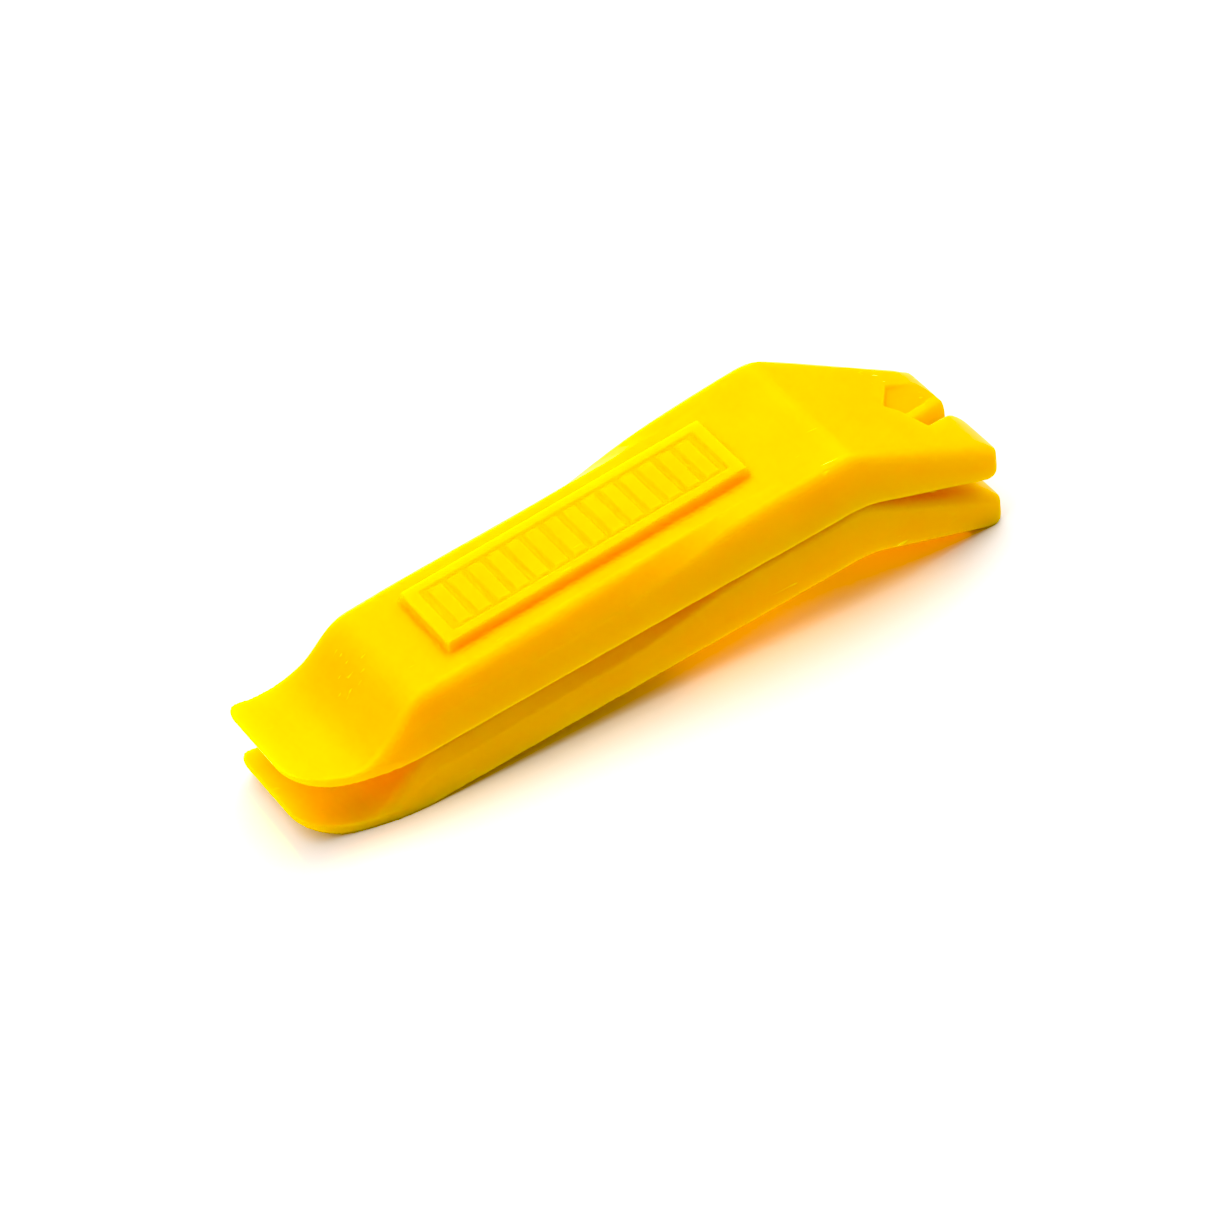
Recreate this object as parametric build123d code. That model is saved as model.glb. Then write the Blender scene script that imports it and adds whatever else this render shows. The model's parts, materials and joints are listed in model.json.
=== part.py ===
from build123d import *
import os
from math import atan2, cos, degrees, hypot, pi, radians, sin, tan

# A pair of identical moulded tyre levers, one clipped on top of the other.
# Each lever is drawn in its own frame: s runs from the tip to the hook end,
# y across the lever and n square to the flat top. The flat underside is n = 0.
# Sizes are in millimetres. Lists along the lever hold (s, value) pairs.

# ---- side view of one lever -------------------------------------------------
TOP = 10.1              # flat top above the flat underside
SHOULDER = 20.8         # s where the scoop behind the tip meets the flat top
KINK = 98.2             # s where the hook end bends down
END = 125.0             # s of the hook end
TOP_LINE = [(-6, 12.8), (0, 7.7), (5.0, 4.2), (10.6, 2.6), (15.0, 4.2),
            (SHOULDER, TOP), (KINK, TOP), (END - 1.2, -7.35), (END, -9.0)]
BOTTOM_LINE = [(-6, 12.0), (0, 6.7), (5.4, 2.1), (11.0, 0.9), (19.0, 0.0),
               (KINK, 0.0), (END - 2.3, -13.15), (END, -11.8)]
TIP_BEND = 2.2          # corners of these lines are rounded over this much on both sides
KINK_BEND = 4.0         # the same for the underside of the kink
END_BEND = 1.0          # and for the hook end

# ---- half widths, seen from above -------------------------------------------
RIM_WIDTH = [(-6, 12.2), (20, 12.6), (36, 13.0), (50, 13.4), (74, 14.1), (86, 14.5),
             (95, 14.7), (104, 14.3), (114, 13.2), (END, 12.2)]
TOP_WIDTH = [(-6, 11.7), (15, 11.4), (SHOULDER, 11.4), (61, 10.2), (70, 9.9), (78, 10.0),
             (KINK, 11.2), (END, 9.0)]
# A sloped shoulder joins the flat top to a crease in the side wall, at this share of the
# wall's height. Behind the waist the crease climbs, until it is the corner of the top.
CREASE_HEIGHT = [(-6, 0.58), (58, 0.58), (66, 0.72), (70, 0.81), (74, 0.89), (78, 0.94),
                 (86, 0.985), (END, 0.985)]
CREASE_RADIUS = [(-6, 2.2), (54, 2.2), (60, 1.2), (70, 1.4), (86, 1.8), (KINK, 1.8), (END, 2.8)]
TOP_RADIUS = [(-6, 2.2), (54, 2.2), (62, 1.2), (END, 1.2)]
# The side wall leans in by this much, from its rim up to the crease.
WALL_DRAFT = [(-6, 0.25), (20, 0.4), (50, 0.7), (74, 0.8), (KINK, 0.6), (END, 0.25)]
SHOULDER_LEAN = 0.3     # least run of the shoulder for its rise
SHOULDER_FILL = 0.9     # most of the shoulder's length that its two roundings take
WALL_FILL = 0.5         # most of the side wall's height that the crease's rounding takes
RIM_RADIUS = 0.3        # rounding of the bottom rim
TIP_PLAN = [(0.2, 9.0), (6.2, 10.5), (10.0, 11.4), (14.5, 12.2), (20.0, 12.7)]
HOOK_PLAN = [(KINK, 14.9), (105, 14.5), (END, 12.3)]
TIP_RADIUS = 4.0        # corners of the wide tip
END_RADIUS = 2.6        # corners of the hook end

# ---- sections of the body ---------------------------------------------------
TIP_START = -3.0        # s of the first section, cut off by the plan
TIP_STEP = 1.5          # between sections where the side view curves
TIP_STEPS = 18
SHOULDER_STEP = 3.0     # along the grip
KINK_STEP = 1.3
KINK_STEPS = 12
END_STEP = 0.8
END_STEPS = 10
OVERRUN = 0.6           # the body is drawn this much too long, then cut to its plan

# ---- raised plate, pocket and grip ribs -------------------------------------
PLATE_LENGTH = 53.2     # at its top
PLATE_WIDTH = 12.8
PLATE_HEIGHT = 2.0
PLATE_MIDDLE = 57.0     # s of its middle
PLATE_DRAFT = 12.0      # degrees
PLATE_ROOT = 0.5        # reaches this far down into the grip
FRAME_SIDE = 1.5        # border along the plate's long edges
FRAME_END = 2.0         # border along its short edges
PANEL_DEPTH = 0.3       # of the sunk panel inside the border
RIB_COUNT = 14
RIB_WIDTH = 2.2
RIB_HEIGHT = 0.25
RIB_CLEARANCE = 0.7     # between the ribs' ends and the border
RIB_MARGIN = 0.5        # pitches left over at the panel's ends
PITCH = 10.45           # from one lever to the next in the stack
POCKET_SIDE_PLAY = 0.5  # round the top of the other lever's plate
POCKET_TOP_PLAY = 0.05  # above the other lever's plate

# ---- spoke hook in the hook end ---------------------------------------------
SLOT_ANGLE = 28.0       # degrees from the lever's length
SLOT_WIDTH = 2.4        # takes a 2 mm spoke
LEAD_WIDTH = 0.9        # slope on the finger, down into the slot
LEAD_DEPTH = 1.8
SLOT_LENGTH = 14.0      # runs out past the end
SEAT = (116.7, -5.3)    # closed corner of the slot, on its near side (s, y)
RAIL_WIDTH = 1.3        # flat top of the finger between the slot and the ramp
RAIL_DEPTH = 0.6        # of that top under the hook end's top
RAMP = [(112.6, 0.2, 2.6), (117.0, 6.0, 0.7), (125.0, 7.0, 0.0)]  # s, y, depth
MOUTH_RADIUS = 1.6      # rounding of the slot's mouth

TALL = 40.0             # half height of the cutting blocks
NEAR = 0.1              # corners this close to the hook end are on it
# places tried for the two lines that touch the table, back from the tip and the hook end
TOE_STEP = 0.5
TOE_STEPS = 80
HEEL_STEP = 0.1
HEEL_STEPS = 60


def read(points, s):
    """Value at s of a line of straight runs, carried on past both ends."""
    runs = list(zip(points, points[1:]))
    (s0, v0), (s1, v1) = next((run for run in runs if s <= run[1][0]), runs[-1])
    return v0 + (v1 - v0) * (s - s0) / (s1 - s0)


def rounded(points, s, bend=TIP_BEND, steps=20):
    """The same line with its corners rounded: its mean from s - bend to s + bend."""
    places = [s + bend * (2 * i / steps - 1) for i in range(steps + 1)]
    return sum(read(points, place) for place in places) / len(places)


def underside(s):
    """Height of the bottom rim at s."""
    if s < PLATE_MIDDLE:
        return rounded(BOTTOM_LINE, s)
    return rounded(BOTTOM_LINE, s, KINK_BEND if s < (KINK + END) / 2 else END_BEND)


def shoulder_radii(s, run, rise, wall_height):
    """Radii at the shoulder's lower and upper end, made smaller where there is less room."""
    slope = atan2(run, rise)
    lower, upper = min(read(CREASE_RADIUS, s), WALL_FILL * wall_height), read(TOP_RADIUS, s)
    needed = lower * tan(slope / 2) + upper * tan((pi / 2 - slope) / 2)
    share = min(1.0, SHOULDER_FILL * hypot(run, rise) / needed)
    return [lower * share, upper * share]


def section(s):
    """Face across the lever at s: rims, steep side walls, sloped shoulders and flat top."""
    bottom = underside(s)
    top = rounded(TOP_LINE, s)
    crease = bottom + (top - bottom) * rounded(CREASE_HEIGHT, s)
    rim = rounded(RIM_WIDTH, s)
    wall = rim - rounded(WALL_DRAFT, s)
    edge = min(rounded(TOP_WIDTH, s), wall - SHOULDER_LEAN * (top - crease))
    half = [(rim, bottom), (wall, crease), (edge, top)]
    outline = half + [(-y, n) for y, n in reversed(half)]
    radii = [RIM_RADIUS] + shoulder_radii(s, wall - edge, top - crease, crease - bottom)
    plane = Plane(origin=(s, 0, 0), x_dir=(0, 1, 0), z_dir=(1, 0, 0))
    line = FilletPolyline(*outline, radius=radii + radii[::-1], close=True)
    return make_face(plane * line)


def block(plan_points):
    """Tall block over a closed outline of (s, y) points."""
    return Pos(0, 0, -TALL) * extrude(make_face(Polyline(*plan_points, close=True)), 2 * TALL)


def plan_block():
    """Tall block over the whole lever's plan, with its tip and hook end rounded."""
    far_side = TIP_PLAN + HOOK_PLAN
    near_side = [(s, -y) for s, y in reversed(far_side)]
    plan = make_face(Polyline(*far_side, *near_side, close=True))
    plan = fillet(plan.vertices().group_by(Axis.X)[0], TIP_RADIUS)
    plan = fillet(plan.vertices().group_by(Axis.X)[-1], END_RADIUS)
    return Pos(0, 0, -TALL) * extrude(plan, 2 * TALL)


def body():
    """The plain lever: scooped tip, flat grip, kink and hook end."""
    tip = [TIP_START + TIP_STEP * i for i in range(TIP_STEPS + 1)]
    kink = [KINK + KINK_STEP * (i - KINK_STEPS / 2) for i in range(KINK_STEPS + 1)]
    waist = [SHOULDER_STEP * i for i in range(int(tip[-1] / SHOULDER_STEP) + 1,
                                             int(kink[0] / SHOULDER_STEP) + 1)]
    grip = [tip[-1]] + waist + [kink[0]]
    end = [END + OVERRUN + END_STEP * (i - END_STEPS) for i in range(END_STEPS + 1)]
    hook = [kink[-1], end[0]]
    whole = loft([section(s) for s in tip])
    whole += loft([section(s) for s in grip], ruled=True)
    whole += loft([section(s) for s in kink])
    whole += loft([section(s) for s in hook], ruled=True)
    whole += loft([section(s) for s in end])
    return whole & plan_block()


def on_plate(length, width, height, depth):
    """Box on the plate's middle, from n = height down to height - depth."""
    return Pos(PLATE_MIDDLE, 0, height - depth / 2) * Box(length, width, depth)


def plate():
    """Raised plate with a border, a sunk panel and plain grip ribs across the panel."""
    spread = 2 * PLATE_HEIGHT * tan(radians(PLATE_DRAFT))
    foot = Plane(origin=(PLATE_MIDDLE, 0, TOP)) * Rectangle(PLATE_LENGTH + spread,
                                                            PLATE_WIDTH + spread)
    raised = extrude(foot, PLATE_HEIGHT, taper=PLATE_DRAFT)
    root = on_plate(PLATE_LENGTH, PLATE_WIDTH, TOP, PLATE_ROOT)
    panel_length = PLATE_LENGTH - 2 * FRAME_END
    panel_width = PLATE_WIDTH - 2 * FRAME_SIDE
    crest = TOP + PLATE_HEIGHT
    raised -= on_plate(panel_length, panel_width, crest, PANEL_DEPTH)
    pitch = panel_length / (RIB_COUNT + RIB_MARGIN)
    rib = on_plate(RIB_WIDTH, panel_width - 2 * RIB_CLEARANCE, crest - PANEL_DEPTH + RIB_HEIGHT,
                   RIB_HEIGHT)
    for i in range(RIB_COUNT):
        raised += Pos(pitch * (i - (RIB_COUNT - 1) / 2), 0, 0) * rib
    return raised + root


def pocket():
    """Room in the underside for the plate of the lever below."""
    depth = TOP + PLATE_HEIGHT + POCKET_TOP_PLAY - PITCH
    return on_plate(PLATE_LENGTH + 2 * POCKET_SIDE_PLAY, PLATE_WIDTH + 2 * POCKET_SIDE_PLAY,
                    depth, 2 * depth)


def beside_slot(along, across):
    """Point (s, y) in the slot's own directions, from its closed near corner."""
    turn = radians(SLOT_ANGLE)
    return (SEAT[0] + along * cos(turn) - across * sin(turn),
            SEAT[1] + along * sin(turn) + across * cos(turn))


def sunk(plan_points, depths):
    """Block over the plan, above the plane through its first three points at these depths."""
    corners = [Vector(s, y, read(TOP_LINE[:-1], s) - depth)
               for (s, y), depth in zip(plan_points, depths)]
    across = (corners[1] - corners[0]).cross(corners[2] - corners[0])
    floor = Plane(origin=corners[0], z_dir=across if across.Z > 0 else -across)
    return split(block(plan_points), bisect_by=floor, keep=Keep.TOP)


def slot_block():
    """Tall block of the slot and of what lies past the hook end, with a rounded mouth."""
    slot = make_face(Polyline(beside_slot(0, 0), beside_slot(SLOT_LENGTH, 0),
                              beside_slot(SLOT_LENGTH, SLOT_WIDTH), beside_slot(0, SLOT_WIDTH),
                              close=True))
    outside = Pos(END + SLOT_LENGTH / 2, 0) * Rectangle(SLOT_LENGTH, 2 * SLOT_LENGTH)
    plan = slot + outside
    mouth = [v for v in plan.vertices() if abs(v.X - END) < NEAR and abs(v.Y) < SLOT_LENGTH / 2]
    plan = fillet(mouth, MOUTH_RADIUS)
    return Pos(0, 0, -TALL) * extrude(plan, 2 * TALL)


def spoke_hook():
    """Slanted slot for a spoke, the ramp beside it and the lowered finger between them."""
    near, far = SLOT_WIDTH + LEAD_WIDTH, SLOT_WIDTH + LEAD_WIDTH + RAIL_WIDTH
    lead = sunk([beside_slot(0, near), beside_slot(0, SLOT_WIDTH),
                 beside_slot(SLOT_LENGTH, SLOT_WIDTH), beside_slot(SLOT_LENGTH, near)],
                [2 * RAIL_DEPTH, 2 * RAIL_DEPTH + LEAD_DEPTH, RAIL_DEPTH + LEAD_DEPTH])
    rail = sunk([beside_slot(0, far), beside_slot(0, near),
                 beside_slot(SLOT_LENGTH, near), beside_slot(SLOT_LENGTH, far)],
                [2 * RAIL_DEPTH, 2 * RAIL_DEPTH, RAIL_DEPTH])
    ramp = sunk([(s, y) for s, y, depth in RAMP]
                + [beside_slot(SLOT_LENGTH, far), beside_slot(0, far)],
                [depth for s, y, depth in RAMP])
    return slot_block() + lead + rail + ramp


def lever():
    """One whole lever in its own frame."""
    return body() + plate() - pocket() - spoke_hook()


def tilt():
    """Degrees by which the flat underside rises when tip and hook end rest on a table."""
    toes = [TOE_STEP * i for i in range(TOE_STEPS)]
    heels = [END - HEEL_STEP * i for i in range(HEEL_STEPS)]
    return degrees(max(min(atan2(underside(toe) - underside(heel), heel - toe) for toe in toes)
                       for heel in heels))


lean = tilt()
lever_solid = lever()
lying = Rot(0, -lean, 0) * lever_solid
lift = Vector(-sin(radians(lean)), 0, cos(radians(lean))) * PITCH
box = (lying + Pos(lift) * lying).bounding_box()
to_table = Pos(-box.center().X, 0, -box.min.Z)
levers = {"lower_lever": to_table * lying, "upper_lever": Pos(lift) * to_table * lying}

os.makedirs("parts", exist_ok=True)
for name, solid in levers.items():
    export_step(solid, f"parts/{name}.step")
    print(name, round(solid.volume), solid.is_valid, solid.bounding_box())
print("lean", round(lean, 3), "lift", lift)
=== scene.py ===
import json
import math

import bmesh
import bpy
from mathutils import Matrix, Vector


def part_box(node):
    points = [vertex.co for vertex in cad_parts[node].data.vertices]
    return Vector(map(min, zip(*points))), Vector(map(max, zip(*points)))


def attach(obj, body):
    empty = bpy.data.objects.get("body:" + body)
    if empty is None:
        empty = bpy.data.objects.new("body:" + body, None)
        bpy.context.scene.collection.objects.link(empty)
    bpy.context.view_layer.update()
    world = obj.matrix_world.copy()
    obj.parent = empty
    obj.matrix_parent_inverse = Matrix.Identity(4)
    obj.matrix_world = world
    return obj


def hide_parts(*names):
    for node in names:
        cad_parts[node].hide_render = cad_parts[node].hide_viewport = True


# A stacked pair of moulded tyre levers. Lengths are in metres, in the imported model's frame.
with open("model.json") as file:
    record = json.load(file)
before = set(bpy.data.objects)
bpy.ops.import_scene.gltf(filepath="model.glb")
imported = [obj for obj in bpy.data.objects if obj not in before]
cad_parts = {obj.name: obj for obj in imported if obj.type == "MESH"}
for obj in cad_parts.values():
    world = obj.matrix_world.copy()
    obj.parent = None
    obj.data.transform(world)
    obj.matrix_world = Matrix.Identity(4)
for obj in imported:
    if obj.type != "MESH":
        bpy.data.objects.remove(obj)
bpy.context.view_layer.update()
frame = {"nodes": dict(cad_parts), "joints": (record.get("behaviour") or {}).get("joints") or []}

MM = 0.001

# ---- the camera -------------------------------------------------------------
CAMERA_AZIMUTH = -32.98     # degrees, 0 looks along +Y
CAMERA_ELEVATION = 43.68
CAMERA_ROLL = -1.74
CAMERA_AIM = (-0.00407, -0.00211, 0.01083)
CAMERA_DISTANCE = 0.6746
CAMERA_LENS = 134.1         # mm
SENSOR_WIDTH = 36           # mm
CLIP_START = 0.01

# ---- the mouldings ----------------------------------------------------------
MERGE_DISTANCE = 0.001 * MM     # corners of the CAD's mesh that are nearer than this become one
VOXEL = 0.22 * MM               # the remesh's grid
SMOOTH_ROUNDS = 3               # of the remeshed surface, which rounds its edges
SMOOTH_SHARE = 0.5              # of the way to its neighbours' middle that a point goes in a round
MOST_TRIANGLES = 195000         # for each lever

# ---- the studio -------------------------------------------------------------
WORLD_LIGHT = 0.39
FLOOR_SIZE = 4.0
FLOOR_COLOUR = (0.85, 0.85, 0.85, 1)
FLOOR_ROUGHNESS = 0.8
WHITE = (1.0, 1.0, 1.0)
AMBER = (1.0, 0.3, 0.0)     # light that has come through the thick grip and hook end
GOLD = (1.0, 0.55, 0.0)     # light that has come through the walls and the thin tip
# name, place, point aimed at, size along and across, power, colour
LIGHTS = [("key", (-0.06, 0.2, 0.8), (0, 0, 0), 2.2, 0.6, 14.9, WHITE),
          ("left", (-0.9, 0, 0.45), (0, 0, 0), 0.6, 0.6, 1.0, WHITE),
          ("right", (0.9, 0, 0.45), (0, 0, 0), 0.6, 0.6, 1.1, WHITE),
          ("backdrop", (0.3, 1.2, 0.25), (0, 0, 0), 0.9, 0.4, 4.0, WHITE),
          ("glow_under_grip", (0.016, 0, 0.0064), (0.0172, 0, -0.0035), 0.036, 0.027, 0.0014,
           AMBER),
          ("glow_under_hook", (0.046, 0, 0.0046), (0.0424, 0, -0.0047), 0.024, 0.024, 0.0009,
           AMBER),
          ("glow_beside_grip", (-0.005, -0.0155, 0.008), (-0.005, -0.031, 0), 0.11, 0.012, 0.002,
           GOLD),
          ("glow_before_tip", (-0.0645, 0, 0.005), (-0.08, 0, 0), 0.02, 0.008, 0.0008, GOLD),
          ("glow_between_tips", (-0.0538, 0, 0.009), (-0.0537, 0, 0), 0.012, 0.02, 0.0006,
           GOLD)]
BLACK_LEVEL = (0.05, 0.07, 0.13)  # red, green and blue that the picture shows as none

# ---- the plastic ------------------------------------------------------------
YELLOW = (0.93, 0.505, 0.0, 1)
DEEP_YELLOW = (0.91, 0.48, 0.0, 1)
SCUFFED = (1.0, 0.72, 0.18, 1)
SPECULAR_TINT = (1.0, 0.7, 0.0, 1)
ROUGHNESS = (0.30, 0.42)    # least and most
SCATTER = (1.0, 0.6, 0.05)  # of red, green and blue, as shares of SCATTER_DEPTH
SCATTER_DEPTH = 8 * MM
# Each BAND is where in its noise, which runs from 0 to 1, a change of look starts and ends.
NOISE_DETAIL = 2.0
MOTTLE_SCALE = 70
COLOUR_BAND = (0.35, 0.65)
ROUGHNESS_BAND = (0.3, 0.7)
GRAIN_SCALE = 1100
GRAIN_STRENGTH = 0.05
GRAIN_HEIGHT = 0.1 * MM
FLECK_SCALE = 800
FLECK_FACTORS = (0.35, 1.6, 1.0)  # along X, Y and Z; below 1 makes a fleck longer that way
FLECK_DETAIL = 0.0
FLECK_BAND = (0.72, 0.78)
PATCH_SCALE = 60
PATCH_BAND = (0.58, 0.66)


def link(obj):
    bpy.context.scene.collection.objects.link(obj)
    return obj


# ---- geometry ---------------------------------------------------------------
def levelling():
    """Rotation that lays a lever's flats level."""
    normal = Vector(frame["joints"][0]["axis"])
    lean = math.atan2(-normal.x, normal.z)
    return Matrix.Rotation(lean, 4, "Y")


def apply_modifier(obj, kind, **settings):
    """Adds a modifier, sets it and applies it to the mesh."""
    modifier = obj.modifiers.new(kind, kind)
    for name, value in settings.items():
        setattr(modifier, name, value)
    with bpy.context.temp_override(object=obj, active_object=obj, selected_objects=[obj]):
        bpy.ops.object.modifier_apply(modifier=modifier.name)


def remoulded(node):
    """Copy of a CAD lever with the soft edges of a moulding, in place of its sharp ones.

    It is remeshed while its flats lie level, so that the grid runs along them.
    """
    mesh = frame["nodes"][node].data.copy()
    obj = link(bpy.data.objects.new(node.replace("_lever", "_moulding"), mesh))
    level = levelling()
    mesh.transform(level)
    edit = bmesh.new()
    edit.from_mesh(mesh)
    bmesh.ops.remove_doubles(edit, verts=edit.verts, dist=MERGE_DISTANCE)
    edit.to_mesh(mesh)
    edit.free()
    apply_modifier(obj, "REMESH", mode="VOXEL", voxel_size=VOXEL)
    apply_modifier(obj, "SMOOTH", factor=SMOOTH_SHARE, iterations=SMOOTH_ROUNDS)
    triangles = 2 * len(obj.data.polygons)
    if triangles > MOST_TRIANGLES:
        apply_modifier(obj, "DECIMATE", ratio=MOST_TRIANGLES / triangles)
    obj.data.transform(level.inverted())
    obj.data.polygons.foreach_set("use_smooth", [True] * len(obj.data.polygons))
    return obj


# ---- material ---------------------------------------------------------------
def pattern(tree, scale, factors=(1, 1, 1), detail=NOISE_DETAIL):
    """Noise over the object, made finer along each axis by that axis's factor."""
    place = tree.nodes.new("ShaderNodeTexCoord")
    mapping = tree.nodes.new("ShaderNodeMapping")
    mapping.inputs["Scale"].default_value = factors
    noise = tree.nodes.new("ShaderNodeTexNoise")
    noise.inputs["Scale"].default_value = scale
    noise.inputs["Detail"].default_value = detail
    tree.links.new(place.outputs["Object"], mapping.inputs["Vector"])
    tree.links.new(mapping.outputs["Vector"], noise.inputs["Vector"])
    return noise.outputs["Fac"]


def spread(tree, value, band, span=(0.0, 1.0)):
    """The value, as it goes through the band, turned into one that goes through the span."""
    node = tree.nodes.new("ShaderNodeMapRange")
    for name, number in zip(("From Min", "From Max", "To Min", "To Max"), band + span):
        node.inputs[name].default_value = number
    tree.links.new(value, node.inputs["Value"])
    return node.outputs["Result"]


def blend(tree, share, first, second):
    """The first colour where the share is 0 and the second where it is 1.

    The first is a plain colour or a node's output, and the second is a plain colour.
    """
    node = tree.nodes.new("ShaderNodeMix")
    node.data_type = "RGBA"
    tree.links.new(share, node.inputs["Factor"])
    if isinstance(first, tuple):
        node.inputs["A"].default_value = first
    else:
        tree.links.new(first, node.inputs["A"])
    node.inputs["B"].default_value = second
    return node.outputs["Result"]


def scuffs(tree):
    """0 on clean plastic and 1 on a scuff. The scuffs are short flecks that come in patches."""
    flecks = spread(tree, pattern(tree, FLECK_SCALE, FLECK_FACTORS, FLECK_DETAIL), FLECK_BAND)
    patches = spread(tree, pattern(tree, PATCH_SCALE), PATCH_BAND)
    both = tree.nodes.new("ShaderNodeMath")
    both.operation = "MULTIPLY"
    tree.links.new(flecks, both.inputs[0])
    tree.links.new(patches, both.inputs[1])
    return both.outputs["Value"]


def lever_plastic():
    """Yellow moulded plastic: translucent, faintly mottled, finely grained and scuffed."""
    material = bpy.data.materials.new("yellow_moulded_plastic")
    material.use_nodes = True
    tree = material.node_tree
    shader = tree.nodes["Principled BSDF"]
    shader.inputs["Specular Tint"].default_value = SPECULAR_TINT
    shader.inputs["Subsurface Weight"].default_value = 1.0
    shader.inputs["Subsurface Radius"].default_value = SCATTER
    shader.inputs["Subsurface Scale"].default_value = SCATTER_DEPTH
    mottle = pattern(tree, MOTTLE_SCALE)
    mottled = blend(tree, spread(tree, mottle, COLOUR_BAND), YELLOW, DEEP_YELLOW)
    tree.links.new(blend(tree, scuffs(tree), mottled, SCUFFED), shader.inputs["Base Color"])
    rough = spread(tree, mottle, ROUGHNESS_BAND, ROUGHNESS)
    tree.links.new(rough, shader.inputs["Roughness"])
    bump = tree.nodes.new("ShaderNodeBump")
    bump.inputs["Strength"].default_value = GRAIN_STRENGTH
    bump.inputs["Distance"].default_value = GRAIN_HEIGHT
    tree.links.new(pattern(tree, GRAIN_SCALE), bump.inputs["Height"])
    tree.links.new(bump.outputs["Normal"], shader.inputs["Normal"])
    return material


# ---- studio -----------------------------------------------------------------
def make_floor():
    half = FLOOR_SIZE / 2
    corners = [(-half, -half, 0), (half, -half, 0), (half, half, 0), (-half, half, 0)]
    mesh = bpy.data.meshes.new("floor")
    mesh.from_pydata(corners, [], [(0, 1, 2, 3)])
    floor = link(bpy.data.objects.new("floor", mesh))
    material = bpy.data.materials.new("white_paper")
    material.use_nodes = True
    shader = material.node_tree.nodes["Principled BSDF"]
    shader.inputs["Base Color"].default_value = FLOOR_COLOUR
    shader.inputs["Roughness"].default_value = FLOOR_ROUGHNESS
    mesh.materials.append(material)


def make_lights():
    world = bpy.data.worlds.new("studio")
    world.use_nodes = True
    background = world.node_tree.nodes["Background"]
    background.inputs["Color"].default_value = (*WHITE, 1)
    background.inputs["Strength"].default_value = WORLD_LIGHT
    bpy.context.scene.world = world
    for name, place, aim, length, width, power, colour in LIGHTS:
        light = bpy.data.lights.new(name, "AREA")
        light.shape = "RECTANGLE"
        light.size = length
        light.size_y = width
        light.energy = power
        light.color = colour
        lamp = link(bpy.data.objects.new(name, light))
        lamp.location = place
        lamp.rotation_euler = (Vector(aim) - lamp.location).to_track_quat("-Z", "Y").to_euler()
        lamp.visible_camera = False


def make_camera():
    azimuth, elevation = math.radians(CAMERA_AZIMUTH), math.radians(CAMERA_ELEVATION)
    back = Vector((math.sin(azimuth) * math.cos(elevation),
                   -math.cos(azimuth) * math.cos(elevation), math.sin(elevation)))
    data = bpy.data.cameras.new("camera")
    data.lens = CAMERA_LENS
    data.sensor_width = SENSOR_WIDTH
    data.clip_start = CLIP_START
    camera = link(bpy.data.objects.new("camera", data))
    camera.location = Vector(CAMERA_AIM) + back * CAMERA_DISTANCE
    upright = (-back).to_track_quat("-Z", "Y").to_matrix()
    roll = Matrix.Rotation(math.radians(CAMERA_ROLL), 3, "Z")
    camera.rotation_euler = (upright @ roll).to_euler()
    bpy.context.scene.camera = camera


make_camera()
make_floor()
make_lights()
plastic = lever_plastic()
lower = remoulded("lower_lever")
# The upper lever is the same moulding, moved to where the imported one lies.
upper_mesh = lower.data.copy()
upper_mesh.transform(Matrix.Translation(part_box("upper_lever")[0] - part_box("lower_lever")[0]))
upper = link(bpy.data.objects.new("upper_moulding", upper_mesh))
for moulding, node in ((lower, "lower_lever"), (upper, "upper_lever")):
    moulding.data.materials.clear()
    moulding.data.materials.append(plastic)
    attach(moulding, node)
    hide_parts(node)

view = bpy.context.scene.view_settings
view.view_transform = "Standard"
view.look = "None"
view.use_curve_mapping = True
view.curve_mapping.black_level = BLACK_LEVEL
view.curve_mapping.update()
